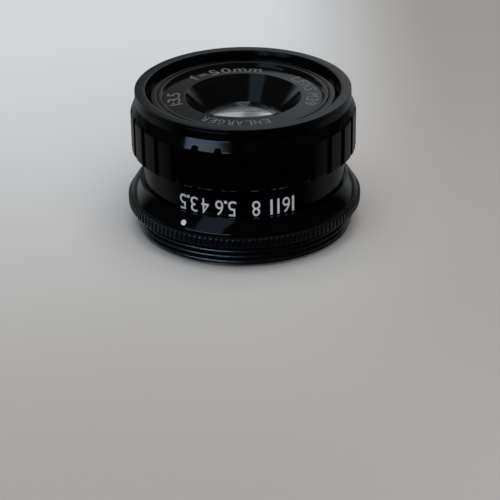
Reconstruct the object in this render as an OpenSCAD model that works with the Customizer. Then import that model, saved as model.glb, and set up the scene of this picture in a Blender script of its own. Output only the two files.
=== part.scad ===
// Enlarger lens, 50 mm f/3.5, with screw mount, click-stop aperture ring and five-blade iris.
// Z is the optical axis. The rear face of the mount thread is at z = 0.

/* [Mount] */
// Crest radius of the screw mount thread
thread_r = 19.5; // [19.4:0.1:19.6]
// Length of the threaded sleeve
thread_len = 4.45; // [4.3:0.05:4.6]
// Pitch of the mount thread
thread_pitch = 0.977; // [0.9:0.01:1.0]
// Radius of the knurled seating flange
flange_r = 20.95; // [20.8:0.05:21.2]
// Teeth around the knurled flange
flange_teeth = 132; // [96:4:144]

/* [Collar] */
// Largest radius of the index collar
collar_r = 20.4; // [20.2:0.05:20.6]
// Angle of the index dot from the front of the lens
index_angle = -32; // [-60:1:60]

/* [Aperture ring] */
// Radius of the fluted grip
grip_r = 20.0; // [19.8:0.1:20.2]
// Number of flutes around the grip
flute_count = 30; // [20:1:36]
// Radius of each flute
flute_r = 0.7; // [0.5:0.05:0.8]
// Radius of the scale skirt below the grip
skirt_r = 18.0; // [17.9:0.05:18.05]
// Turn of the ring from wide open to smallest stop
ring_travel = 58; // [56:1:60]

/* [Iris] */
// Number of click positions on the ring
stop_count = 6; // [4:1:6]
// Turn of each blade between wide open and smallest stop
blade_turn = 29; // [27:0.5:30]
// Inner edge radius of a blade when wide open
blade_in_r = 6.1; // [6.0:0.05:6.3]

/* [Optics] */
// Radius of the visible front glass
front_clear_r = 7.25; // [7.1:0.05:7.3]
// Curvature radius of the front surface
front_curve = 16; // [15.5:0.5:18]

/* [Hidden] */
$fn = 96;
fine_fn = 240;
touch = 0.001;
eps = 0.1;

// mount
thread_root_r = thread_r - 0.55;
thread_start = 0.55;
sleeve_in_r = 17.0;
web_z = 3.0;
flange_top = 6.45;
flange_relief = 0.1;
flange_chamfer = 0.35;
knurl_depth = 0.22;
screw_r = 14.6;
screw_head_r = 1.5;
screw_head_t = 1.0;
screw_shank_r = 0.8;
screw_len = 6;
screw_slot = 0.4;

// barrel
spigot_r = 12.9;
spigot_z = 3.4;
body_r = 16.24;
body_top = 22.3;
neck_r = 15.6;
neck_in_r = 14.6;
neck_top = 23.5;
step_z = 22.6;
rear_bore_r = 9.0;
rear_bore_top = 10.2;
light_stop_r = 7.4;

// index collar and dot
collar_low = 6.85;
collar_top = 9.2;
collar_in_r = 18.2;
collar_lip_r = 18.75;
collar_floor = 8.75;
collar_bulge = 0.12;
dot_r = 0.5;
dot_rise = 0.14;
dot_depth = 0.3;
dot_tilt = 55.5;

// aperture ring
ring_bore_r = 16.3;
ring_bottom = 8.85;
ring_shoulder = 22.24;
ring_top = 26.0;
rim_in_r = 17.3;
rim_r = 19.15;
rim_groove = 0.08;
lip_z = 23.95;
grip_top = 22.1;
grip_bottom = 14.75;
grip_chamfer = 0.45;
edge = 0.15;

// rings round the front glass
front_ring_top = 24.8;
retainer_r = 17.1;
retainer_in_r = 15.25;
retainer_flange_top = 22.95;
notch_w = 1.2;
notch_z = 24.2;
name_r = 15.1;
name_face_r = 14.0;
name_face_z = 24.15;
cone_r = 10.3;
cone_z = 24.3;
cone_wall = 1.65;

// iris
iris_floor = 11.2;
plate_t = 0.4;
plate_in_r = 6.3;
plate_top = iris_floor + plate_t;
iris_bore_r = 11.5;
blade_count = 5;
blade_pivot_r = 9.4;
blade_out_r = 10.7;
blade_span = 130;
blade_slope = 0.065;
blade_t = 0.06;
blade_aim = 160;
blade_z = plate_top + 0.16;
pivot_pin_r = 0.35;
blade_pin_r = 0.3;
drive_bore_r = 12.0;
drive_floor = 13.1;
drive_z = 13.15;
drive_plate_t = 0.45;
drive_rim_in_r = 10.9;
drive_r = 11.94;
drive_top = 14.6;
drive_in_r = 6.2;
slot_half = 0.54;
slot_angle = 129.5;
clip_z = 14.66;
clip_in_r = 10.3;
clip_gap = 1.6;
clip_angle = 200;

// coupling screw and click stop
coupling_z = 13.95;
coupling_r = 0.5;
coupling_head_r = 0.8;
coupling_head_at = 16.95;
coupling_slot = 0.24;
coupling_angle = 90;
coupling_reach = 0.62;
coupling_spare = 3.5;
detent_z = 18.5;
detent_angle = -90;
detent_hole_r = 0.8;
detent_hole_at = 13.4;
ball_r = 0.75;
ball_at = 15.75;
dimple_r = 0.85;
track_depth = 0.28;
spring_r = 0.46;
spring_wire = 0.2;
spring_len = 1.65;

// front glasses and their cell
front_apex = 21.8;
front_low = 18.6;
front_glass_r = 7.7;
front_seat_z = 17.4;
cell_low = 14.0;
cell_tail_r = 8.4;
cell_wall_r = 9.2;
cell_flange_z = 15.15;
cell_flange_top = 16.8;
cell_top = 19.8;
cell_in_r = 6.2;
spacer_in_r = 6.3;
second_low = 14.4;
second_r = 6.75;
second_front_curve = 40;
second_rear_curve = 14;

// rear glasses and their cell
rear_cell_low = 2.2;
rear_cell_r = 10.4;
rear_cell_in_r = 7.2;
rear_glass_r = 6.6;
rear_seat_z = 6.2;
third_rim_r = 6.1;
third_top = 9.8;
third_low = 6.9;
third_curve = 45;
cement_z = 8.42;
cement_curve = 15;
rear_apex = 5.22;
rear_curve = 20;
rear_retainer_in_r = 6.0;
rear_retainer_low = 4.8;

// depth of a spherical surface of radius c at distance r from the axis
function sag(c, r) = c - sqrt(c * c - r * r);

// position of a blade drive pin after the blade has turned by a
tip_aim = 90 + blade_span / 2;
tip_reach = 2 * blade_pivot_r * sin(blade_span / 2);
function tip(a) = [blade_pivot_r + tip_reach * cos(tip_aim + a), tip_reach * sin(tip_aim + a)];
slot_in_r = norm(tip(blade_turn));

module revolve(points) {
  rotate_extrude() polygon(points);
}

module ring(r_out, r_in, z0, z1) {
  revolve([[r_in, z0], [r_out, z0], [r_out, z1], [r_in, z1]]);
}

// one root-crest-root step of the mount thread, as profile points
function thread_step(i) = let (z = thread_start + i * thread_pitch, h = thread_pitch)
  [[thread_root_r, z], [thread_r, z + 0.36 * h], [thread_r, z + 0.64 * h], [thread_root_r, z + h]];
thread_steps = floor((thread_len - 0.7) / thread_pitch);
thread_points = [for (i = [0 : thread_steps - 1]) for (p = thread_step(i)) p];

module mount_sleeve() {
  chamfer = 0.3;
  base = [[sleeve_in_r + chamfer, 0], [thread_root_r - 0.45, 0], [thread_root_r, 0.45]];
  head = [[thread_root_r, thread_len + chamfer], [sleeve_in_r, thread_len + chamfer], [sleeve_in_r, chamfer]];
  revolve(concat(base, thread_points, head));
}

module knurled_flange() {
  step = 180 / flange_teeth;
  teeth = [for (i = [0 : 2 * flange_teeth - 1])
    let (r = flange_r - knurl_depth * (i % 2)) r * [cos(i * step), sin(i * step)]];
  seat_r = thread_r + eps;
  out_r = flange_r + eps;
  face_r = flange_r - 0.3;
  intersection() {
    translate([0, 0, thread_len]) linear_extrude(flange_top - thread_len) polygon(teeth);
    revolve([[0, thread_len + flange_relief], [seat_r, thread_len + flange_relief], [seat_r, thread_len],
      [face_r, thread_len], [out_r, thread_len + flange_chamfer], [out_r, flange_top - flange_chamfer],
      [face_r, flange_top], [0, flange_top]]);
  }
}

module screw_places() {
  for (i = [0 : 2]) rotate([0, 0, 90 + 120 * i]) translate([screw_r, 0, 0]) children();
}

module mount_base() {
  color("#202022") difference() {
    union() {
      mount_sleeve();
      knurled_flange();
    }
    translate([0, 0, -1]) cylinder(h = web_z + 1, r = sleeve_in_r);
    translate([0, 0, -1]) cylinder(h = flange_top + 2, r = spigot_r);
    screw_places() mount_screw_shape();
  }
}

// clearance for a mount screw, its head counterbored up through the web
module mount_screw_shape() {
  head_top = web_z + screw_head_t + 0.2;
  translate([0, 0, web_z - 1]) cylinder(h = head_top - web_z + 1, r = screw_head_r);
  translate([0, 0, web_z + screw_head_t / 2]) cylinder(h = screw_len, r = screw_shank_r);
}

module mount_screw(i) {
  head_z = web_z + 0.2;
  color("#8a8a8c") rotate([0, 0, 90 + 120 * i]) translate([screw_r, 0, 0]) difference() {
    union() {
      translate([0, 0, head_z]) cylinder(h = screw_head_t, r = screw_head_r);
      translate([0, 0, web_z + screw_head_t / 2]) cylinder(h = screw_len, r = screw_shank_r);
    }
    translate([-2, -screw_slot / 2, head_z - eps]) cube([4, screw_slot, 0.5]);
  }
}

// a disc square to the collar cone, from below its surface to `rise` above it
module index_dot_shape(rise) {
  rotate([0, 0, index_angle - 90]) translate([collar_r - 0.6, 0, collar_low + 0.88]) rotate([0, dot_tilt, 0])
    translate([0, 0, -dot_depth]) cylinder(h = dot_depth + rise, r = dot_r);
}

module index_collar() {
  steps = 10;
  low = [collar_r, collar_low];
  high = [collar_lip_r, collar_top];
  across = [0.82, 0.57];
  flank = [for (i = [0 : steps]) low + (high - low) * i / steps + collar_bulge * sin(180 * i / steps) * across];
  color("#1c1c1e") difference() {
    revolve(concat([[body_r, flange_top], [collar_r - eps, flange_top], [collar_r, flange_top + eps]],
      flank, [[collar_in_r, collar_top], [collar_in_r, collar_floor], [body_r, collar_floor]]));
    index_dot_shape(1);
  }
}

module index_dot() {
  color("#f2f2f0") index_dot_shape(dot_rise);
}

module main_barrel() {
  span = ring_travel + 2 * coupling_spare;
  color("#2a2a2c") difference() {
    revolve([[spigot_r, spigot_z], [spigot_r, flange_top], [body_r, flange_top], [body_r, body_top],
      [neck_r, body_top], [neck_r, neck_top], [neck_in_r, neck_top], [neck_in_r, step_z],
      [drive_bore_r, step_z], [drive_bore_r, drive_floor], [iris_bore_r, drive_floor],
      [iris_bore_r, iris_floor], [light_stop_r, iris_floor], [light_stop_r, rear_bore_top],
      [rear_bore_r, rear_bore_top], [rear_bore_r, spigot_z]]);
    screw_places() mount_screw_shape();
    rotate([0, 0, coupling_angle + coupling_spare - span]) translate([0, 0, coupling_z - coupling_reach])
      rotate_extrude(angle = span) translate([drive_bore_r - 1, 0]) square([6, 2 * coupling_reach]);
    rotate([0, 0, detent_angle]) translate([detent_hole_at, 0, detent_z]) rotate([0, 90, 0])
      cylinder(h = 4, r = detent_hole_r);
  }
}

module front_retaining_ring() {
  top = front_ring_top;
  color("#3a3a3c") difference() {
    revolve([[neck_r, body_top], [retainer_r, body_top], [retainer_r, retainer_flange_top],
      [body_r + touch, retainer_flange_top + edge], [body_r + touch, top - edge], [body_r - edge, top],
      [retainer_in_r + eps, top], [retainer_in_r, top - eps], [retainer_in_r, neck_top + touch],
      [neck_r, neck_top + touch]]);
    for (a = [90, 270]) rotate([0, 0, a]) translate([retainer_in_r - 0.25, -notch_w / 2, notch_z])
      cube([2, notch_w, 1]);
  }
}

module name_ring() {
  foot = front_apex - sag(front_curve, front_clear_r) + 0.02;
  face_foot = name_face_z - edge;
  top = front_ring_top;
  color("#1a1a1c") revolve([[front_clear_r, foot], [cone_r, cone_z], [name_face_r, name_face_z],
    [name_face_r + 0.05, face_foot], [name_face_r + eps, face_foot], [name_face_r + 0.42, top],
    [name_r - eps, top], [name_r, top - eps], [name_r, neck_top], [neck_in_r, neck_top],
    [neck_in_r, step_z], [drive_bore_r - eps, step_z], [front_clear_r + cone_wall, foot]]);
}

module front_cell() {
  color("#262628") revolve([[cell_in_r, cell_low], [cell_tail_r, cell_low], [cell_tail_r, cell_flange_z],
    [drive_bore_r, cell_flange_z], [drive_bore_r, cell_flange_top], [cell_wall_r, cell_flange_top],
    [cell_wall_r, cell_top], [front_glass_r, cell_top], [front_glass_r, front_seat_z], [second_r, front_seat_z],
    [second_r, second_low], [cell_in_r, second_low]]);
}

module front_element() {
  color("#bcd4e6") intersection() {
    translate([0, 0, front_low]) cylinder(h = 4, r = front_glass_r);
    translate([0, 0, front_apex - front_curve]) sphere(r = front_curve, $fn = 180);
  }
}

module element_spacer() {
  color("#303032") ring(front_glass_r, spacer_in_r, front_seat_z, front_low);
}

// biconcave glass, its faces meeting the cell's clear bore at both seats
module second_element() {
  front_z = front_seat_z - sag(second_front_curve, cell_in_r);
  rear_z = second_low + sag(second_rear_curve, cell_in_r);
  color("#bcd4e6") difference() {
    translate([0, 0, second_low]) cylinder(h = front_seat_z - second_low, r = second_r);
    translate([0, 0, front_z + second_front_curve]) sphere(r = second_front_curve, $fn = fine_fn);
    translate([0, 0, rear_z - second_rear_curve]) sphere(r = second_rear_curve, $fn = fine_fn);
  }
}

module pin_places() {
  for (i = [0 : blade_count - 1]) rotate([0, 0, -i * 360 / blade_count]) children();
}

module iris_base_plate() {
  color("#3c3c3e") difference() {
    ring(iris_bore_r, plate_in_r, iris_floor, plate_top);
    pin_places() translate([blade_pivot_r, 0, iris_floor - 1]) cylinder(h = 3, r = pivot_pin_r + 0.05);
  }
}

// points of an arc about c, radius r, from angle a to angle b
function arc_points(c, r, a, b, n) = [for (i = [0 : n]) let (t = a + (b - a) * i / n) c + r * [cos(t), sin(t)]];

// flat blade outline, open, pivot on +X, reaching clockwise
module blade_outline() {
  mid = (blade_in_r + blade_out_r) / 2;
  cap = (blade_out_r - blade_in_r) / 2;
  end = mid * [cos(blade_span), sin(blade_span)];
  mirror([0, 1]) polygon(concat(
    arc_points([0, 0], blade_out_r, 3, blade_span - 3, 40),
    arc_points(end, cap, blade_span + 6, blade_span + 174, 14),
    arc_points([0, 0], blade_in_r, blade_span - 3, 3, 40),
    arc_points([mid, 0], cap, 186, 354, 14)));
}

module iris_blade(i) {
  tilt = atan(blade_slope);
  t = tip(0);
  rise = blade_slope * (cos(blade_aim) * (t[0] - blade_pivot_r) + sin(blade_aim) * t[1]);
  color("#4a4c52") rotate([0, 0, -i * 360 / blade_count]) {
    translate([blade_pivot_r, 0, blade_z]) {
      rotate([0, 0, -blade_aim]) rotate([0, -tilt, 0]) rotate([0, 0, blade_aim])
        linear_extrude(blade_t) translate([-blade_pivot_r, 0]) blade_outline();
      translate([0, 0, iris_floor + 0.06 - blade_z]) cylinder(h = blade_z - iris_floor - 0.03, r = pivot_pin_r);
    }
    translate([t[0], -t[1], blade_z + rise + blade_t / 2])
      cylinder(h = drive_z + 0.35 - blade_z - rise, r = blade_pin_r);
  }
}

// radial slot for a drive pin, wide enough for the pin's small sideways drift
module drive_slot() {
  inner = [for (i = [0 : 12]) slot_in_r * [1, 0] + slot_half * [cos(90 + 15 * i), sin(90 + 15 * i)]];
  outer = [for (i = [0 : 12]) blade_pivot_r * [1, 0] + slot_half * [cos(-90 + 15 * i), sin(-90 + 15 * i)]];
  rotate(-slot_angle) polygon(concat(outer, inner));
}

module iris_drive_ring() {
  color("#8c8468") difference() {
    revolve([[drive_in_r, drive_z], [drive_r, drive_z], [drive_r, drive_top], [drive_rim_in_r, drive_top],
      [drive_rim_in_r, drive_z + drive_plate_t], [drive_in_r, drive_z + drive_plate_t]]);
    translate([0, 0, drive_z - 1]) linear_extrude(3) pin_places() drive_slot();
    rotate([0, 0, coupling_angle]) translate([drive_rim_in_r - 0.6, 0, coupling_z]) rotate([0, 90, 0])
      cylinder(h = 4, r = coupling_r);
  }
}

module iris_clip() {
  color("#4a4a4c") difference() {
    ring(drive_bore_r, clip_in_r, clip_z, cell_flange_z);
    rotate([0, 0, clip_angle]) translate([clip_in_r - 1, -clip_gap / 2, clip_z - 1]) cube([4, clip_gap, 2]);
  }
}

module coupling_screw() {
  color("#909092") rotate([0, 0, coupling_angle]) translate([0, 0, coupling_z]) rotate([0, 90, 0])
    difference() {
      union() {
        translate([0, 0, drive_rim_in_r + eps]) cylinder(h = 6, r = coupling_r);
        translate([0, 0, coupling_head_at]) cylinder(h = 0.9, r = coupling_head_r);
      }
      translate([-2, -coupling_slot / 2, coupling_head_at + 0.65]) cube([4, coupling_slot, 1]);
    }
}

module ring_profile() {
  groove_low = ring_top - 0.62;
  groove_high = ring_top - 0.46;
  slope = 0.04;
  revolve([[ring_bore_r, ring_bottom + eps], [ring_bore_r + eps, ring_bottom], [skirt_r - edge, ring_bottom],
    [skirt_r, ring_bottom + edge], [skirt_r, grip_bottom - eps], [grip_r - grip_chamfer, grip_bottom],
    [grip_r, grip_bottom + 0.5], [grip_r, grip_top - 0.2], [grip_r - 0.05, grip_top], [rim_r, lip_z],
    [rim_r, groove_low], [rim_r - rim_groove, groove_low + slope], [rim_r - rim_groove, groove_high - slope],
    [rim_r, groove_high], [rim_r, ring_top - edge], [rim_r - edge, ring_top],
    [rim_in_r + eps, ring_top], [rim_in_r, ring_top - eps], [rim_in_r, ring_shoulder],
    [ring_bore_r, ring_shoulder]]);
}

// round-nosed flute cutter standing at the grip's edge
module flute_cutter() {
  nose = grip_top + 0.2;
  translate([grip_r + 0.15, 0, 0]) {
    translate([0, 0, grip_bottom - 1]) cylinder(h = nose - grip_bottom + 1, r = flute_r, $fn = 24);
    translate([0, 0, nose]) sphere(r = flute_r, $fn = 24);
  }
}

// groove with a dimple at each stop for the click ball
module click_track() {
  spare = 3;
  rotate([0, 0, detent_angle - spare]) translate([0, 0, detent_z - dimple_r])
    rotate_extrude(angle = ring_travel + 2 * spare) translate([ring_bore_r - 0.5, 0])
      square([0.5 + track_depth, 2 * dimple_r]);
  for (i = [0 : stop_count - 1]) rotate([0, 0, detent_angle + i * ring_travel / (stop_count - 1)])
    translate([ball_at + 0.15, 0, detent_z]) sphere(r = dimple_r, $fn = 32);
}

module aperture_ring() {
  color("#161618") difference() {
    ring_profile();
    for (i = [0 : flute_count - 1]) rotate([0, 0, (i + 0.45) * 360 / flute_count]) flute_cutter();
    rotate([0, 0, coupling_angle]) translate([0, 0, coupling_z]) rotate([0, 90, 0]) {
      translate([0, 0, ring_bore_r - 0.8]) cylinder(h = 3, r = coupling_r);
      translate([0, 0, coupling_head_at]) cylinder(h = 4, r = coupling_head_r);
    }
    click_track();
  }
}

module detent_ball() {
  color("#c0c0c2") rotate([0, 0, detent_angle]) translate([ball_at, 0, detent_z]) sphere(r = ball_r);
}

module detent_spring() {
  turns = 4;
  $fn = 8;
  color("#a8a8aa") rotate([0, 0, detent_angle]) translate([detent_hole_at, 0, detent_z]) rotate([0, 90, 0])
    linear_extrude(height = spring_len, twist = -360 * turns, slices = 40) translate([spring_r, 0])
      circle(r = spring_wire);
}

module rear_cell() {
  chamfer = 0.2;
  color("#262628") revolve([[rear_cell_in_r, rear_cell_low], [rear_cell_r - chamfer, rear_cell_low],
    [rear_cell_r, rear_cell_low + chamfer], [rear_cell_r, spigot_z], [rear_bore_r, spigot_z],
    [rear_bore_r, rear_bore_top], [third_rim_r, rear_bore_top], [third_rim_r, third_top],
    [rear_glass_r, third_top], [rear_glass_r, rear_seat_z], [rear_cell_in_r, rear_seat_z]]);
}

module third_element() {
  top_z = third_top - sag(third_curve, third_rim_r);
  color("#bcd4e6") difference() {
    translate([0, 0, third_low]) cylinder(h = third_top - third_low, r = rear_glass_r);
    translate([0, 0, top_z + third_curve]) sphere(r = third_curve, $fn = fine_fn);
    translate([0, 0, cement_z - cement_curve]) sphere(r = cement_curve, $fn = fine_fn);
  }
}

module rear_element() {
  color("#bcd4e6") intersection() {
    translate([0, 0, rear_apex]) cylinder(h = 3.4, r = rear_glass_r);
    translate([0, 0, cement_z - cement_curve]) sphere(r = cement_curve, $fn = fine_fn);
    translate([0, 0, rear_apex + rear_curve]) sphere(r = rear_curve, $fn = fine_fn);
  }
}

module rear_retainer() {
  top = rear_apex + sag(rear_curve, rear_retainer_in_r);
  slot = 1;
  color("#303032") difference() {
    ring(rear_cell_in_r, rear_retainer_in_r, rear_retainer_low, top);
    for (a = [0, 180]) rotate([0, 0, a]) translate([rear_retainer_in_r - 0.5, -slot / 2, rear_retainer_low - 1])
      cube([2, slot, 1.4]);
  }
}

mount_base();
mount_screw(0);  // mount_screw_1
mount_screw(1);  // mount_screw_2
mount_screw(2);  // mount_screw_3
index_collar();
index_dot();
main_barrel();
front_retaining_ring();
name_ring();
front_cell();
front_element();
element_spacer();
second_element();
iris_base_plate();
iris_blade(0);  // iris_blade_1
iris_blade(1);  // iris_blade_2
iris_blade(2);  // iris_blade_3
iris_blade(3);  // iris_blade_4
iris_blade(4);  // iris_blade_5
iris_drive_ring();
iris_clip();
coupling_screw();
aperture_ring();
detent_ball();
detent_spring();
rear_cell();
third_element();
rear_element();
rear_retainer();
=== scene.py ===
"""Looks of the enlarger lens: turned and fluted black metal, painted marks, coated glass and a
pale stage with painted window light. Lengths are millimetres and angles degrees unless a comment
says otherwise."""
import math

import bmesh
import bpy
from mathutils import Matrix, Vector


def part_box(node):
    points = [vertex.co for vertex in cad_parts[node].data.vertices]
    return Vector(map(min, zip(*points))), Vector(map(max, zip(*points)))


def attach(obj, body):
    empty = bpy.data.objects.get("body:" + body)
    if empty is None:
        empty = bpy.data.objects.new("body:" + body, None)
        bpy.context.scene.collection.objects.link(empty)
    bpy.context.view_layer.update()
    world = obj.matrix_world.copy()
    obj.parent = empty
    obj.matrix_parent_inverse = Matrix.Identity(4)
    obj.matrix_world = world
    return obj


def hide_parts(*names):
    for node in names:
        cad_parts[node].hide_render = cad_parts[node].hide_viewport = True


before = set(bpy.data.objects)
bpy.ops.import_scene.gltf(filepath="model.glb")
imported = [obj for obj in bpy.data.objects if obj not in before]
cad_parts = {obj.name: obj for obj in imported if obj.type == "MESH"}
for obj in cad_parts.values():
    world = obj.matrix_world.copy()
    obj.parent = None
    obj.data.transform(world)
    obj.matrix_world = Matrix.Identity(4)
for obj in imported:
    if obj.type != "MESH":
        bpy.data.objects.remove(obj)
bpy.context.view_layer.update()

MM = 0.001
FULL = 2 * math.pi
# Mesh points closer than WELD are merged, and edges shorter than SLIVER dissolved
WELD = 1e-4
SLIVER = 1e-5


def corner(node, side):
    """Lowest (0) or highest (1) corner of a CAD node's box."""
    return Vector(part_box(node)[side]) / MM


# Heights and radii read from the CAD parts in model.glb
RING_LOW = corner("aperture_ring", 0).z
RING_TOP = corner("aperture_ring", 1).z
GRIP_R = corner("aperture_ring", 1).x
COLLAR_R = corner("index_collar", 1).x
COLLAR_TOP = corner("index_collar", 1).z
FLANGE_TOP = corner("mount_base", 1).z
FLANGE_R = corner("mount_base", 1).x
NAME_TOP = corner("name_ring", 1).z
NAME_R = corner("name_ring", 1).x

# Aperture ring: bore, skirt with the scale, fluted grip, cone and plain lip
BORE_R = 16.3
SKIRT_R = 18.0
RIM_R = 19.15
RIM_IN_R = 17.3
GRIP_LOW = 14.75
GRIP_TOP = 22.1
GRIP_CHAMFER_WIDTH = 0.45
GRIP_CHAMFER_HEIGHT = 0.5
LIP_Z = 23.95
SHOULDER_Z = 22.24
RING_ROUNDING = 0.12
# Longest profile steps: in the plain bore, where the flutes run out, and elsewhere outside
BORE_STEP = 3.0
NOSE_STEP = 0.06
OUTER_STEP = 0.8

# Fine groove round the lip, as depths below the ring's top
GROOVE_DEPTH = 0.09
GROOVE_EDGES = (0.62, 0.58, 0.50, 0.46)

# Flutes: FLUTE_AT is the radius of their centres. FLUTE_PHASE is their offset and FLUTE_EDGE
# their half width, as shares of one pitch; FLUTE_COLUMNS are mesh columns as shares of that width.
FLUTES = 30
FLUTE_R = 0.7
FLUTE_AT = GRIP_R + 0.15
FLUTE_NOSE = GRIP_TOP + 0.2
FLUTE_PHASE = 0.45
FLUTE_EDGE = 0.162
FLUTE_COLUMNS = [0, 0.25, 0.5, 0.72, 0.88, 0.97, 1.02, 1.1, 1.35, 1.9, 2.5]
FLUTE_BLEND = 0.03

# Click track round the ring's bore, and the coupling screw's hole at the back of the skirt
TRACK_Z = 18.5
TRACK_HALF = 0.85
TRACK_R = BORE_R + 0.28
SCREW_Z = 13.95
SCREW_HOLE_R = 0.8
SCREW_HOLE_FOOT = 16.95

# Index collar: the cone's lower and upper edge, its bulge, and the counterbore round the skirt
CONE_LOW = FLANGE_TOP + 0.4
CONE_TOP_R = 18.75
CONE_BULGE = 0.12
CONE_OUTWARD = Vector((0.82, 0.57))
CONE_STEPS = 16
COUNTERBORE_R = 18.2
COUNTERBORE_DEPTH = 0.45
COLLAR_BORE_R = BORE_R - 0.06
COLLAR_CHAMFER = 0.1

# Mount: sleeve, thread and knurled flange
SLEEVE_R = 17.0
SLEEVE_CHAMFER = 0.3
WEB_R = 12.9
WEB_Z = 3.0
THREAD_R = 19.5
THREAD_ROOT = 18.95
THREAD_PITCH = 0.977
THREAD_LOW = 0.4
THREAD_HIGH = 3.75
THREAD_FADE = 0.35
SEAT_Z = 4.45
FLANGE_BODY_R = 18.5
FLANGE_CHAMFER = 0.3
SEAT_CHAMFER = 0.45
TEETH = 132
TOOTH_COLUMNS = (0.0, 0.17, 0.2, 0.35, 0.5, 0.65, 0.8, 0.83)
TOOTH_DEPTH = 0.24
TOOTH_SLOPE = 1.6
# Faces that lean less than this towards up or down can be rubbed
UPRIGHT = 0.7
# One turn of the thread: (share of the pitch, share of the depth), with a rounded crest
THREAD_FORM = [(0.0, 1.0), (0.06, 1.0), (0.34, 0.24), (0.42, 0.05), (0.5, 0.0), (0.6, 0.06),
               (0.7, 0.16), (0.78, 0.34), (0.94, 1.0)]
THREAD_TURNS = range(-2, 6)

# Front retaining ring as (r, z), with its two spanner notches
RETAINER = [(15.6, 22.3), (17.1, 22.3), (17.1, 22.95), (16.25, 23.1), (16.25, 24.8), (15.25, 24.8),
            (15.25, 23.5), (15.6, 23.5)]
NOTCH_FLOOR = 24.2
NOTCH_HALF = 0.6
NOTCH_AT = 16
NOTCH_IN_R = 15.2

# Name ring: face, outer lip and inner cone
FACE_R = 10.3
FACE_Z = 24.3
FACE_SLOPE = 0.04
CONE_FOOT = 20.08
NAME_RING = [(7.25, CONE_FOOT), (FACE_R, FACE_Z), (14.0, 24.15), (14.05, 24.0), (14.1, 24.0),
             (14.42, NAME_TOP), (NAME_R, NAME_TOP), (NAME_R, 23.5), (14.6, 23.5), (14.6, 22.6),
             (11.9, 22.6), (8.9, CONE_FOOT)]

# Glasses: (node, rim radius, top height, top curve, low height, low curve, which glass).
# Heights are on the axis, and a curve is a radius, positive where the surface domes upward.
GLASSES = [
    ("front_element", 7.65, 21.8, 16, 18.6, 400, "front"),
    ("second_element", 6.7, 16.92, -40, 15.87, 14, "inner"),
    ("third_element", 6.55, 9.38, -45, 8.5, 15, "inner"),
    ("rear_element", 6.55, 8.42, 15, 5.22, -20, "inner"),
]

# Painted marks. The scale: (number, degrees from the front)
PAINT = 0.03
SCALE_Z = 10.8
SCALE_HEIGHT = 2.9
SCALE_DIGIT = 1.42
SCALE_SPACE = 0.4
STOPS = [("3.5", -32.4), ("4", -22.0), ("5.6", -10.3), ("8", 6.5), ("11", 17.0), ("16", 24.9)]
# The name ring: (piece, text, degrees from the front, radius, height, digit width, space)
FACE_TEXTS = [
    ("face_front", "ENLARGER", -7, 12.0, 1.75, 1.2, 0.38),
    ("face_ratio", "1:3.5", -85, 12.3, 2.3, 1.5, 0.75),
    ("face_focus", "f=50mm", 196, 12.3, 2.4, 1.7, 0.6),
    ("face_right", "LENS M39", 100, 12.3, 2.2, 1.35, 0.45),
]
# Letter shapes: stroke and dot as shares of the height, some widths as shares of a digit's
STROKE = 0.14
DOT = 0.18
CAP_HEIGHT = 0.72
LETTER_WIDTHS = {" ": 0.3, "m": 1.35, "M": 1.15, "f": 0.7}
DOT_GAP = 0.4
ONES_GAP = 2.1
COLON_DROPS = (0.3, -0.12)
EQUALS_DROPS = (0.13, -0.13)
EQUALS_WIDTH = 0.9
EQUALS_STROKE = 0.8
SMALL_LETTER = 0.7

# Lights: (name, azimuth from the front, elevation, distance in metres, size in metres,
# power in watts, colour, seen in reflections)
LIGHTS = [
    ("window_low", -37, 15.5, 1.0, (0.8, 0.23), 1.3, (0.5, 0.72, 1.0), True),
    ("window_high", -37, 42, 1.0, (0.44, 0.64), 0.4, (0.5, 0.65, 1.0), True),
    ("overhead", 10, 80, 1.3, (1.5, 1.5), 18, (1.0, 0.99, 0.98), False),
    ("front_fill", 10, 20, 1.4, (0.8, 0.8), 4.5, (1.0, 0.98, 0.96), False),
]
LIGHT_TARGET = Vector((0, 0, 12))

# Camera
CAMERA_PITCH = 27.46
CAMERA_ROLL = -0.78
CAMERA_AIM = Vector((0.86, 0, -6.5))
CAMERA_DISTANCE = 350
FOCAL_LENGTH = 136.8
SENSOR_WIDTH = 36
CLIP_START = 10

FLOOR_HALF = 3000

# Noise scales, in features per metre: tone and gloss of black finishes, of metal and paint,
# smears on the glass, and unevenness of the floor
BLACK_TONE = 900
BLACK_GLOSS = 260
METAL_TONE = 1500
METAL_GLOSS = 700
GLASS_SMEAR = 400
FLOOR_GLOSS = 40


# ---------------------------------------------------------------- mesh helpers

def rounded(points, size, steps=4):
    """A closed profile with each corner replaced by a small curve."""
    most = 0.4
    result = []
    for i, here in enumerate(points):
        p = Vector(here)
        before = Vector(points[i - 1]) - p
        after = Vector(points[(i + 1) % len(points)]) - p
        start = p + before.normalized() * min(size, before.length * most)
        end = p + after.normalized() * min(size, after.length * most)
        for k in range(steps + 1):
            t = k / steps
            result.append((1 - t) ** 2 * start + 2 * t * (1 - t) * p + t * t * end)
    return result


def split(points, longest):
    """The same closed profile with no step longer than longest(r, z)."""
    result = []
    for i, p in enumerate(points):
        q = points[(i + 1) % len(points)]
        mid = (p + q) / 2
        pieces = max(1, math.ceil((q - p).length / longest(mid.x, mid.y)))
        result += [p.lerp(q, k / pieces) for k in range(pieces)]
    return result


def even_angles(count):
    return [FULL * k / count for k in range(count)]


def ridge_angles(count, offsets):
    """Mesh columns for `count` ridges, at the given shares of one ridge's pitch."""
    return sorted((i + f) / count * FULL % FULL for i in range(count) for f in offsets)


def smooth_min(a, b, blend):
    h = max(0.0, min(1.0, 0.5 + 0.5 * (b - a) / blend))
    return b + (a - b) * h - blend * h * (1 - h)


def link(name, data):
    """A new object in the scene."""
    obj = bpy.data.objects.new(name, data)
    bpy.context.scene.collection.objects.link(obj)
    return obj


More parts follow.
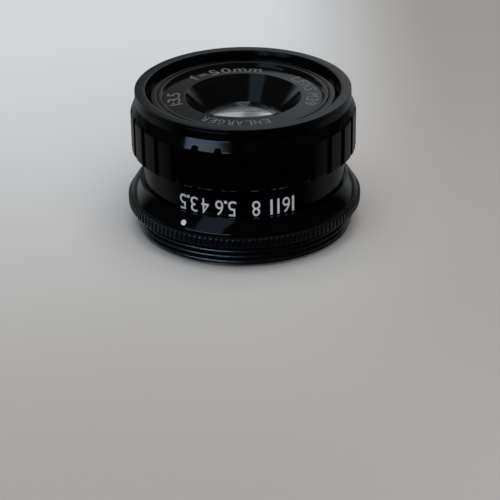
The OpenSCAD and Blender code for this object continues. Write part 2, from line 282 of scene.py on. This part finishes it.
def evaluated_mesh(obj):
    """A new mesh with the object's modifiers, or a text's outlines, worked out."""
    bpy.context.view_layer.update()
    graph = bpy.context.evaluated_depsgraph_get()
    return bpy.data.meshes.new_from_object(obj.evaluated_get(graph))


def add_mesh(name, verts, faces, material, sharp):
    """A smooth mesh object, with edges over `sharp` degrees kept crisp."""
    mesh = bpy.data.meshes.new(name)
    mesh.from_pydata([tuple(c * MM for c in v) for v in verts], [], faces)
    mesh.update()
    work = bmesh.new()
    work.from_mesh(mesh)
    bmesh.ops.remove_doubles(work, verts=work.verts, dist=WELD * MM)
    bmesh.ops.dissolve_degenerate(work, edges=work.edges, dist=SLIVER * MM)
    bmesh.ops.recalc_face_normals(work, faces=work.faces)
    work.to_mesh(mesh)
    work.free()
    mesh.shade_smooth()
    mesh.set_sharp_from_angle(angle=math.radians(sharp))
    mesh.materials.append(material)
    obj = link(name, mesh)
    shading = obj.modifiers.new("flat faces", "WEIGHTED_NORMAL")
    shading.keep_sharp = True
    shading.weight = 80
    return obj


def lathe(name, profile, material, angles, sharp, shape=None):
    """A closed (r, z) profile turned about Z. shape(r, z, angle) may move a point."""
    rows = len(profile)
    verts = []
    for a in angles:
        for p in profile:
            r, z = shape(p[0], p[1], a) if shape else (p[0], p[1])
            verts.append((r * math.cos(a), r * math.sin(a), z))
    faces = []
    for c in range(len(angles)):
        d = (c + 1) % len(angles)
        for i in range(rows):
            j = (i + 1) % rows
            faces.append((c * rows + i, d * rows + i, d * rows + j, c * rows + j))
    return add_mesh(name, verts, faces, material, sharp)


def drill(piece, radius, foot, mouth, height, sharp):
    """Cuts a round hole along +Y into a piece, from `foot` to `mouth` off the axis."""
    work = bmesh.new()
    middle = Matrix.Translation(Vector((0, (foot + mouth) / 2, height)) * MM)
    bmesh.ops.create_cone(work, cap_ends=True, segments=48, radius1=radius * MM,
                          radius2=radius * MM, depth=(mouth - foot) * MM,
                          matrix=middle @ Matrix.Rotation(math.pi / 2, 4, "X"))
    mesh = bpy.data.meshes.new("drill")
    work.to_mesh(mesh)
    work.free()
    cutter = link("drill", mesh)
    shading = piece.modifiers[0]
    shading.show_viewport = False
    cut = piece.modifiers.new("hole", "BOOLEAN")
    cut.solver = "EXACT"
    cut.object = cutter
    drilled = evaluated_mesh(piece)
    piece.modifiers.remove(cut)
    shading.show_viewport = True
    piece.data = drilled
    drilled.set_sharp_from_angle(angle=math.radians(sharp))
    bpy.data.objects.remove(cutter)
    bpy.data.meshes.remove(mesh)


# ---------------------------------------------------------------- shader helpers

def feed(tree, node, inputs):
    """Gives each named input a value, or links it to another node's output."""
    for socket, value in inputs.items():
        if isinstance(value, bpy.types.NodeSocket):
            tree.links.new(value, node.inputs[socket])
        else:
            node.inputs[socket].default_value = value


def add_node(tree, kind, inputs, **settings):
    node = tree.nodes.new(kind)
    for setting, value in settings.items():
        setattr(node, setting, value)
    feed(tree, node, inputs)
    return node


def new_material(name):
    material = bpy.data.materials.new(name)
    material.use_nodes = True
    return material, material.node_tree, material.node_tree.nodes["Principled BSDF"]


def noise(tree, scale, detail=4.0):
    """Object-space noise, scale in features per metre."""
    place = add_node(tree, "ShaderNodeTexCoord", {})
    texture = add_node(tree, "ShaderNodeTexNoise", {
        "Scale": scale, "Detail": detail, "Vector": place.outputs["Object"]})
    return texture.outputs["Fac"]


def ramp(tree, source, low, high):
    """Turns the middle of a 0..1 value's range into a colour between low and high."""
    node = add_node(tree, "ShaderNodeValToRGB", {"Fac": source})
    for element, position, colour in zip(node.color_ramp.elements, (0.3, 0.7), (low, high)):
        element.position = position
        element.color = (*colour, 1)
    return node.outputs["Color"]


def bump(tree, height, strength):
    """Bump two micrometres deep at full strength."""
    node = add_node(tree, "ShaderNodeBump", {
        "Strength": strength, "Distance": 2e-6, "Height": height})
    return node.outputs["Normal"]


def between(tree, source, low, high):
    """Turns a 0..1 value into a number between low and high."""
    node = add_node(tree, "ShaderNodeMapRange", {"To Min": low, "To Max": high, "Value": source})
    return node.outputs["Result"]


def smooth_step(tree, source, from_range, to_range):
    """Eases a value from one range into another, and holds it beyond the ends."""
    inputs = {"From Min": from_range[0], "From Max": from_range[1],
              "To Min": to_range[0], "To Max": to_range[1], "Value": source}
    node = add_node(tree, "ShaderNodeMapRange", inputs, interpolation_type="SMOOTHSTEP")
    return node.outputs["Result"]


def blend_colours(tree, factor, low, high):
    """Mix of two colours with alpha, each a plain tuple or another node's output."""
    node = add_node(tree, "ShaderNodeMix", {0: factor, 6: low, 7: high}, data_type="RGBA")
    return node.outputs[2]


def split_axes(tree, output):
    """X, Y and Z of a texture coordinate."""
    place = add_node(tree, "ShaderNodeTexCoord", {})
    return add_node(tree, "ShaderNodeSeparateXYZ", {"Vector": place.outputs[output]}).outputs


# ---------------------------------------------------------------- materials

def black_finish(name, dark, light, rough, grain, depth):
    """Black enamel or anodising: faint mottling, uneven gloss and a fine orange-peel bump.
    grain is the bump's noise scale and depth its strength."""
    material, tree, bsdf = new_material(name)
    feed(tree, bsdf, {
        "Base Color": ramp(tree, noise(tree, BLACK_TONE), dark, light),
        "Roughness": between(tree, noise(tree, BLACK_GLOSS), *rough),
        "Normal": bump(tree, noise(tree, grain, 2.0), depth)})
    return material


def plain_surface(name, low, high, rough, metallic):
    """Bare metal or matt paint with slight unevenness."""
    material, tree, bsdf = new_material(name)
    feed(tree, bsdf, {
        "Metallic": metallic,
        "Base Color": ramp(tree, noise(tree, METAL_TONE), low, high),
        "Roughness": between(tree, noise(tree, METAL_GLOSS), *rough)})
    return material


def glass(name, tint, ior):
    """Clear coated glass with a trace of smearing."""
    material, tree, bsdf = new_material(name)
    smear = noise(tree, GLASS_SMEAR, 2.0)
    feed(tree, bsdf, {
        "Base Color": ramp(tree, smear, tint, tuple(min(1, c * 1.02) for c in tint)),
        "Transmission Weight": 1.0,
        "IOR": ior,
        "Roughness": between(tree, smear, 0.0, 0.02)})
    return material


enamel = black_finish(
    "black_enamel", (0.0008, 0.0008, 0.0009), (0.0016, 0.0016, 0.0018), (0.08, 0.12), 3500, 0.03)
anodised = black_finish(
    "black_anodised", (0.003, 0.003, 0.0035), (0.005, 0.005, 0.0055), (0.16, 0.24), 6000, 0.06)
knurl_black = black_finish(
    "knurl_black", (0.003, 0.003, 0.0034), (0.005, 0.005, 0.0055), (0.28, 0.36), 6000, 0.06)
name_black = black_finish(
    "name_enamel", (0.0025, 0.0025, 0.0028), (0.004, 0.004, 0.0044), (0.09, 0.14), 5200, 0.03)
matt_black = black_finish(
    "matt_black", (0.006, 0.006, 0.006), (0.010, 0.010, 0.010), (0.45, 0.6), 7000, 0.3)
rubbed_edge = plain_surface(
    "rubbed_edge", (0.17, 0.178, 0.185), (0.31, 0.32, 0.33), (0.24, 0.34), 1.0)
white_paint = plain_surface(
    "white_paint", (0.56, 0.58, 0.61), (0.66, 0.68, 0.71), (0.45, 0.6), 0.0)
grey_paint = plain_surface(
    "grey_paint", (0.11, 0.114, 0.118), (0.145, 0.15, 0.155), (0.45, 0.6), 0.0)
blued_steel = plain_surface(
    "blued_steel", (0.035, 0.036, 0.045), (0.06, 0.062, 0.075), (0.28, 0.42), 1.0)
turned_brass = plain_surface(
    "turned_brass", (0.42, 0.32, 0.14), (0.52, 0.41, 0.2), (0.25, 0.4), 1.0)
steel = plain_surface(
    "screw_steel", (0.42, 0.42, 0.43), (0.55, 0.55, 0.56), (0.2, 0.35), 1.0)
glass_kinds = {"front": glass("front_glass", (0.93, 0.96, 1.0), 1.62),
               "inner": glass("inner_glass", (0.96, 0.96, 0.98), 1.58)}


# ---------------------------------------------------------------- aperture ring

def flute_cut(r, z, angle):
    """Moves the ring's surface in where the round-nosed flutes are milled into it."""
    if r < SKIRT_R + 0.05 or z > LIP_Z:
        return r, z
    above = max(0.0, z - FLUTE_NOSE)
    reach = math.sqrt(max(0.0, FLUTE_R ** 2 - above ** 2))
    pitch = FULL / FLUTES
    offset = (angle - FLUTE_PHASE * pitch + pitch / 2) % pitch - pitch / 2
    across = FLUTE_AT * math.sin(offset)
    if reach <= abs(across):
        return r, z
    groove = FLUTE_AT * math.cos(offset) - math.sqrt(reach ** 2 - across ** 2)
    return smooth_min(r, groove, FLUTE_BLEND), z


def ring_step(r, z):
    """Longest step of the ring's profile near this point."""
    if r < SKIRT_R - 0.5:
        return BORE_STEP
    return NOSE_STEP if FLUTE_NOSE - 0.3 < z < FLUTE_NOSE + 0.8 else OUTER_STEP


def aperture_ring():
    low_edge, low_floor, top_floor, top_edge = (RING_TOP - depth for depth in GROOVE_EDGES)
    profile = rounded([
        (BORE_R, RING_LOW), (SKIRT_R, RING_LOW), (SKIRT_R, GRIP_LOW - 0.1),
        (GRIP_R - GRIP_CHAMFER_WIDTH, GRIP_LOW), (GRIP_R, GRIP_LOW + GRIP_CHAMFER_HEIGHT),
        (GRIP_R, GRIP_TOP - 0.2), (GRIP_R - 0.05, GRIP_TOP), (RIM_R, LIP_Z), (RIM_R, low_edge),
        (RIM_R - GROOVE_DEPTH, low_floor), (RIM_R - GROOVE_DEPTH, top_floor), (RIM_R, top_edge),
        (RIM_R, RING_TOP), (RIM_IN_R, RING_TOP), (RIM_IN_R, SHOULDER_Z), (BORE_R, SHOULDER_Z),
    ], RING_ROUNDING)
    profile += [Vector((BORE_R, TRACK_Z + TRACK_HALF)), Vector((TRACK_R, TRACK_Z + TRACK_HALF)),
                Vector((TRACK_R, TRACK_Z - TRACK_HALF)), Vector((BORE_R, TRACK_Z - TRACK_HALF))]
    sides = {side * column for column in FLUTE_COLUMNS for side in (-1, 1)}
    offsets = [FLUTE_PHASE + FLUTE_EDGE * side for side in sides] + [FLUTE_PHASE + 0.5]
    sharp = 50
    ring = lathe("fluted_ring", split(profile, ring_step), enamel,
                 ridge_angles(FLUTES, offsets), sharp, shape=flute_cut)
    drill(ring, SCREW_HOLE_R, SCREW_HOLE_FOOT, SKIRT_R + 0.5, SCREW_Z, sharp)
    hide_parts("aperture_ring")
    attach(ring, "aperture")


# ---------------------------------------------------------------- collar, flange and thread

def index_collar():
    low, high = Vector((COLLAR_R, CONE_LOW)), Vector((CONE_TOP_R, COLLAR_TOP))
    profile = [Vector((COLLAR_BORE_R, FLANGE_TOP)),
               Vector((COLLAR_R - COLLAR_CHAMFER, FLANGE_TOP)),
               Vector((COLLAR_R, FLANGE_TOP + COLLAR_CHAMFER))]
    for k in range(CONE_STEPS + 1):
        t = k / CONE_STEPS
        profile.append(low.lerp(high, t) + CONE_OUTWARD * CONE_BULGE * math.sin(math.pi * t))
    profile += [Vector((CONE_TOP_R - 0.09, COLLAR_TOP + 0.02)),
                Vector((COUNTERBORE_R + COLLAR_CHAMFER, COLLAR_TOP)),
                Vector((COUNTERBORE_R, COLLAR_TOP - COLLAR_CHAMFER)),
                Vector((COUNTERBORE_R, COLLAR_TOP - COUNTERBORE_DEPTH)),
                Vector((COLLAR_BORE_R, COLLAR_TOP - COUNTERBORE_DEPTH))]
    collar = lathe("collar_cone", profile, enamel, even_angles(240), sharp=30)
    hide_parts("index_collar")
    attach(collar, "lens_body")


def knurl(r, z, angle):
    """Straight knurling in the flange's edge."""
    if r < FLANGE_R - 0.5:
        return r, z
    tooth = (angle / FULL * TEETH) % 1.0
    crest = abs(tooth - 0.5) * 2
    return r - TOOTH_DEPTH * max(0.0, 1 - crest * TOOTH_SLOPE), z


def worn_above(piece, radius, from_z):
    """Gives the faces outside `radius` and above `from_z` the rubbed finish of handled edges."""
    piece.data.materials.append(rubbed_edge)
    for side in piece.data.polygons:
        outside = side.center.xy.length / MM > radius
        above = side.center.z / MM > from_z
        if outside and above and abs(side.normal.z) < UPRIGHT:
            side.material_index = 1


def mount_flange():
    profile = rounded([
        (WEB_R, WEB_Z), (FLANGE_BODY_R, WEB_Z), (FLANGE_BODY_R, SEAT_Z),
        (FLANGE_R - SEAT_CHAMFER, SEAT_Z), (FLANGE_R, SEAT_Z + FLANGE_CHAMFER),
        (FLANGE_R, FLANGE_TOP - FLANGE_CHAMFER), (FLANGE_R - FLANGE_CHAMFER, FLANGE_TOP),
        (WEB_R, FLANGE_TOP),
    ], 0.06, 2)
    flange = lathe("knurled_flange", profile, knurl_black, ridge_angles(TEETH, TOOTH_COLUMNS),
                   sharp=30, shape=knurl)
    worn_above(flange, FLANGE_R - 0.05, 0.0)
    return flange


def thread_column(share):
    """The sleeve's profile with the thread's turns, `share` of the way round."""
    depth = THREAD_R - THREAD_ROOT
    column = [(SLEEVE_R, SEAT_Z), (SLEEVE_R, SLEEVE_CHAMFER), (SLEEVE_R + SLEEVE_CHAMFER, 0.0),
              (THREAD_ROOT - 0.5, 0.0), (THREAD_ROOT, THREAD_LOW)]
    for turn in THREAD_TURNS:
        for part, fall in THREAD_FORM:
            z = (turn + part + share) * THREAD_PITCH
            fade = min(1.0, max(0.0, (z - THREAD_LOW) / THREAD_FADE))
            height = (1 - fall) * depth * fade if THREAD_LOW < z < THREAD_HIGH else 0
            column.append((THREAD_ROOT + height, min(THREAD_HIGH, max(THREAD_LOW, z))))
    column.append((THREAD_ROOT, SEAT_Z))
    return column


def mount_thread():
    """One-start right-hand helical thread on the sleeve, run out at both ends."""
    columns = 240
    verts = []
    for c in range(columns):
        a = FULL * c / columns
        profile = thread_column(c / columns)
        verts += [(r * math.cos(a), r * math.sin(a), z) for r, z in profile]
    rows = len(profile)
    per_turn = len(THREAD_FORM)
    first_turn = 5
    faces = []
    for c in range(columns):
        for i in range(rows):
            j = (i + 1) % rows
            here = (c * rows + i, c * rows + j)
            there = ((c + 1) % columns * rows + i, (c + 1) % columns * rows + j)
            if c == columns - 1 and first_turn <= i < rows - 1 - per_turn:
                # the last column meets the first one turn higher
                there = (i + per_turn, j + per_turn if j < rows - 1 else j)
            faces.append((here[0], there[0], there[1], here[1]))
    thread = add_mesh("mount_thread", verts, faces, anodised, sharp=45)
    worn_above(thread, THREAD_R - 0.3 * (THREAD_R - THREAD_ROOT), 0.2)
    return thread


def mount():
    flange, thread = mount_flange(), mount_thread()
    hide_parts("mount_base")
    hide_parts("mount_base")
    for piece in (flange, thread):
        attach(piece, "lens_body")


# ---------------------------------------------------------------- rings around the glass

def notch(r, z, angle):
    """Lowers the retaining ring's top at its two spanner notches."""
    near = abs(math.cos(angle)) * NOTCH_AT < NOTCH_HALF and r > NOTCH_IN_R
    return r, min(z, NOTCH_FLOOR) if near else z


def retaining_ring():
    wall = NOTCH_HALF / NOTCH_AT
    angles = even_angles(180)
    angles += [middle * math.pi + side * (wall + step) for middle in (0.5, 1.5)
               for side in (-1, 1) for step in (-1e-4, 1e-4)]
    ring = lathe("front_ring", rounded(RETAINER, 0.1), enamel, sorted(angles), sharp=35,
                 shape=notch)
    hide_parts("front_retaining_ring")
    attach(ring, "lens_body")


def name_ring():
    ring = lathe("name_face", rounded(NAME_RING, 0.08, 3), name_black, even_angles(240),
                 sharp=30)
    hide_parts("name_ring")
    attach(ring, "lens_body")


# ---------------------------------------------------------------- glass

def sag(curve, r):
    """Depth of a sphere of signed radius `curve` at distance r from the axis."""
    return math.copysign(abs(curve) - math.sqrt(curve ** 2 - r * r), curve)


def element(node, rim_r, top_z, top_curve, low_z, low_curve, kind):
    steps = 24
    radii = [rim_r * k / steps for k in range(steps + 1)]
    profile = [Vector((r, top_z - sag(top_curve, r))) for r in reversed(radii)]
    profile += [Vector((r, low_z - sag(low_curve, r))) for r in radii]
    piece = lathe(node + "_glass", profile, glass_kinds[kind], even_angles(96), sharp=30)
    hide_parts(node)
    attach(piece, "lens_body")


# ---------------------------------------------------------------- painted marks

def glyph_mesh(text, width, height):
    """A flat glyph whose ink fills width x height, centred on its own origin."""
    curve = bpy.data.curves.new("mark_source", "FONT")
    curve.body = text
    curve.size = height / CAP_HEIGHT
    curve.extrude = PAINT / 2
    curve.resolution_u = 5
    source = link("mark_source", curve)
    mesh = evaluated_mesh(source)
    points = [v.co.copy() for v in mesh.vertices]
    faces = [tuple(p.vertices) for p in mesh.polygons]
    bpy.data.objects.remove(source)
    bpy.data.curves.remove(curve)
    bpy.data.meshes.remove(mesh)
    low = [min(p[k] for p in points) for k in (0, 1)]
    high = [max(p[k] for p in points) for k in (0, 1)]
    middle = Vector(((low[0] + high[0]) / 2, (low[1] + high[1]) / 2, 0))
    scale = Matrix.Diagonal((width / (high[0] - low[0]), height / (high[1] - low[1]), 1))
    return [scale @ (p - middle) for p in points], faces


def bar_mesh(width, height, drop=0.0):
    """A flat bar, its middle `drop` below the glyph's middle."""
    x, y, z = width / 2, height / 2, PAINT / 2
    around = ((-1, -1), (1, -1), (1, 1), (-1, 1))
    verts = [Vector((i * x, j * y - drop, k * z)) for k in (-1, 1) for i, j in around]
    sides = [(k, (k + 1) % 4, (k + 1) % 4 + 4, k + 4) for k in range(4)]
    return verts, [(3, 2, 1, 0), (4, 5, 6, 7)] + sides


def letter_shapes(letter, width, height, digit):
    """The meshes that make up one letter, number or sign."""
    stroke, dot = STROKE * height, DOT * height
    if letter in "1I":
        return [bar_mesh(stroke, height)]
    if letter == ".":
        return [bar_mesh(dot, dot, (height - dot) / 2)]
    if letter == ":":
        return [bar_mesh(dot, dot, height * drop) for drop in COLON_DROPS]
    if letter == "=":
        return [bar_mesh(digit * EQUALS_WIDTH, stroke * EQUALS_STROKE, height * drop)
                for drop in EQUALS_DROPS]
    if letter == "m":
        verts, faces = glyph_mesh(letter, width, height * SMALL_LETTER)
        lower = Vector((0, height * (1 - SMALL_LETTER) / 2, 0))
        return [([v - lower for v in verts], faces)]
    return [] if letter == " " else [glyph_mesh(letter, width, height)]


def lay_out(text, height, digit, space):
    """Glyph meshes side by side, centred: (x of the glyph's middle, vertices, faces)."""
    widths, gaps = [], []
    for letter in text:
        if letter in "1I":
            widths.append(STROKE * height)
        elif letter in ".:":
            widths.append(DOT * height)
        else:
            widths.append(digit * LETTER_WIDTHS.get(letter, 1))
    for a, b in zip(text, text[1:]):
        close = DOT_GAP if a in ".:" or b in ".:" else 1.0
        gaps.append(space * (ONES_GAP if a == b == "1" else close))
    x = -(sum(widths) + sum(gaps)) / 2
    glyphs = []
    for letter, width, gap in zip(text, widths, gaps + [0]):
        for shape in letter_shapes(letter, width, height, digit):
            glyphs.append((x + width / 2, *shape))
        x += width + gap
    return glyphs


def mark(name, glyphs, place, material, body):
    """One painted mark: place(x, vertex) puts each glyph's vertices on the surface."""
    verts, faces = [], []
    for x, shape, sides in glyphs:
        base = len(verts)
        verts += [place(x, v) for v in shape]
        faces += [tuple(base + i for i in side) for side in sides]
    piece = add_mesh(name, verts, faces, material, sharp=30)
    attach(piece, body)


def scale_mark(text, degrees):
    """A scale number bent round the skirt, its top towards the mount."""
    def place(x, v):
        a = math.radians(degrees - 90) - (x + v.x) / SKIRT_R
        r = SKIRT_R + v.z
        return r * math.cos(a), r * math.sin(a), SCALE_Z - v.y

    glyphs = lay_out(text, SCALE_HEIGHT, SCALE_DIGIT, SCALE_SPACE)
    mark("scale_" + text.replace(".", "_"), glyphs, place, white_paint, "aperture")


def face_text(name, text, degrees, middle_r, height, digit, space):
    """Letters on the name ring's face, tops outwards, read clockwise from above."""
    def place(x, v):
        a = math.radians(degrees - 90) - x / middle_r
        r = middle_r + v.y
        z = FACE_Z - FACE_SLOPE * (r - FACE_R) + v.z
        return r * math.cos(a) + v.x * math.sin(a), r * math.sin(a) - v.x * math.cos(a), z

    mark(name, lay_out(text, height, digit, space), place, grey_paint, "lens_body")


# ---------------------------------------------------------------- carried-over CAD nodes

def finish_nodes():
    """Materials of the CAD nodes; screws, springs and hidden nodes are steel."""
    finishes = {"index_dot": white_paint, "iris_drive_ring": turned_brass,
                "rear_cell": anodised, "rear_retainer": anodised}
    for node in ("main_barrel", "front_cell", "element_spacer", "iris_base_plate"):
        finishes[node] = matt_black
    for node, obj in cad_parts.items():
        plain = blued_steel if node.startswith("iris_blade") else steel
        obj.data.materials.clear()
        obj.data.materials.append(finishes.get(node, plain))


# ---------------------------------------------------------------- stage, light and camera

def floor_with_painted_light():
    """Pale floor with painted light: lighter and cooler towards the back left as painted window
    light, and darker towards the back right as painted shade.
    """
    material, tree, bsdf = new_material("floor_with_painted_light")
    axes = split_axes(tree, "Object")
    # Painted light: the back of the floor is coloured light and cool on the left, where window
    # light falls, and dark on the right, where shade falls.
    far = smooth_step(tree, axes["Y"], (-0.10, 0.13), (0, 1))
    right = smooth_step(tree, axes["X"], (0.0, 0.045), (0, 1))
    near_tone = blend_colours(tree, right, (0.42, 0.405, 0.385, 1), (0.45, 0.435, 0.42, 1))
    far_painted_light_and_shade = blend_colours(tree, right, (0.80, 0.82, 0.84, 1), (0.38, 0.365, 0.345, 1))
    feed(tree, bsdf, {
        "Base Color": blend_colours(tree, far, near_tone, far_painted_light_and_shade),
        "Roughness": between(tree, noise(tree, FLOOR_GLOSS), 0.75, 0.85),
        "Specular IOR Level": 0.1})
    return material


def stage():
    corners = [(-1, -1), (1, -1), (1, 1), (-1, 1)]
    mesh = bpy.data.meshes.new("floor")
    mesh.from_pydata([(x * FLOOR_HALF * MM, y * FLOOR_HALF * MM, 0) for x, y in corners], [],
                     [(0, 1, 2, 3)])
    mesh.materials.append(floor_with_painted_light())
    floor = link("floor", mesh)
    floor.visible_glossy = False


def room_light():
    """A pale wall behind the lens, brighter to the right of the middle and at the far left,
    and a dark room in front of it. The ranges are parts of the direction that light comes from."""
    world = bpy.data.worlds.new("room")
    bpy.context.scene.world = world
    world.use_nodes = True
    tree = world.node_tree
    axes = split_axes(tree, "Generated")

    def combine(operation, a, b):
        node = add_node(tree, "ShaderNodeMath", {0: a, 1: b}, operation=operation)
        return node.outputs["Value"]

    behind = smooth_step(tree, axes["Y"], (0.4, 0.8), (0.015, 1.0))
    above = smooth_step(tree, axes["Z"], (-0.05, 0.05), (0.1, 1.0))
    centre = smooth_step(tree, axes["X"], (-0.08, 0.08), (0.14, 0.45))
    far_left = smooth_step(tree, axes["X"], (-0.5, -0.12), (0.6, 0.0))
    wall = combine("MULTIPLY", combine("MULTIPLY", behind, above),
                   combine("ADD", centre, far_left))
    beside = smooth_step(tree, axes["Y"], (-0.4, 0.3), (0.0, 1.0))
    below = smooth_step(tree, axes["Z"], (-0.2, -0.05), (0.11, 0.0))
    low_glow = combine("MULTIPLY", beside, below)
    feed(tree, tree.nodes["Background"], {
        "Color": (0.93, 0.97, 1.0, 1), "Strength": combine("ADD", wall, low_glow)})


def area_light(name, azimuth, elevation, distance, size, power, colour, glossy):
    """A rectangular light aimed at the lens."""
    data = bpy.data.lights.new(name, "AREA")
    data.shape = "RECTANGLE"
    data.size, data.size_y = size
    data.energy = power
    data.color = colour
    light = link(name, data)
    a, e = math.radians(azimuth - 90), math.radians(elevation)
    away = Vector((math.cos(a) * math.cos(e), math.sin(a) * math.cos(e), math.sin(e)))
    light.location = LIGHT_TARGET * MM + away * distance
    light.rotation_euler = away.to_track_quat("Z", "Y").to_euler()
    light.visible_glossy = glossy


def camera():
    """Long lens looking down at the front of the object, rolled slightly."""
    pitch, roll = math.radians(CAMERA_PITCH), math.radians(CAMERA_ROLL)
    forward = Vector((0, math.cos(pitch), -math.sin(pitch)))
    right = Vector((1, 0, 0))
    up = right.cross(forward)
    side = right * math.cos(roll) + up * math.sin(roll)
    top = up * math.cos(roll) - right * math.sin(roll)
    data = bpy.data.cameras.new("camera")
    data.sensor_width = SENSOR_WIDTH
    data.lens = FOCAL_LENGTH
    data.clip_start = CLIP_START * MM
    view = link("camera", data)
    place = Matrix.Translation((CAMERA_AIM - forward * CAMERA_DISTANCE) * MM)
    view.matrix_world = place @ Matrix((side, top, -forward)).transposed().to_4x4()
    bpy.context.scene.camera = view


finish_nodes()
aperture_ring()
index_collar()
mount()
retaining_ring()
name_ring()
for row in GLASSES:
    element(*row)
for text, degrees in STOPS:
    scale_mark(text, degrees)
for row in FACE_TEXTS:
    face_text(*row)
stage()
room_light()
for row in LIGHTS:
    area_light(*row)
camera()
bpy.context.scene.view_settings.view_transform = "Standard"
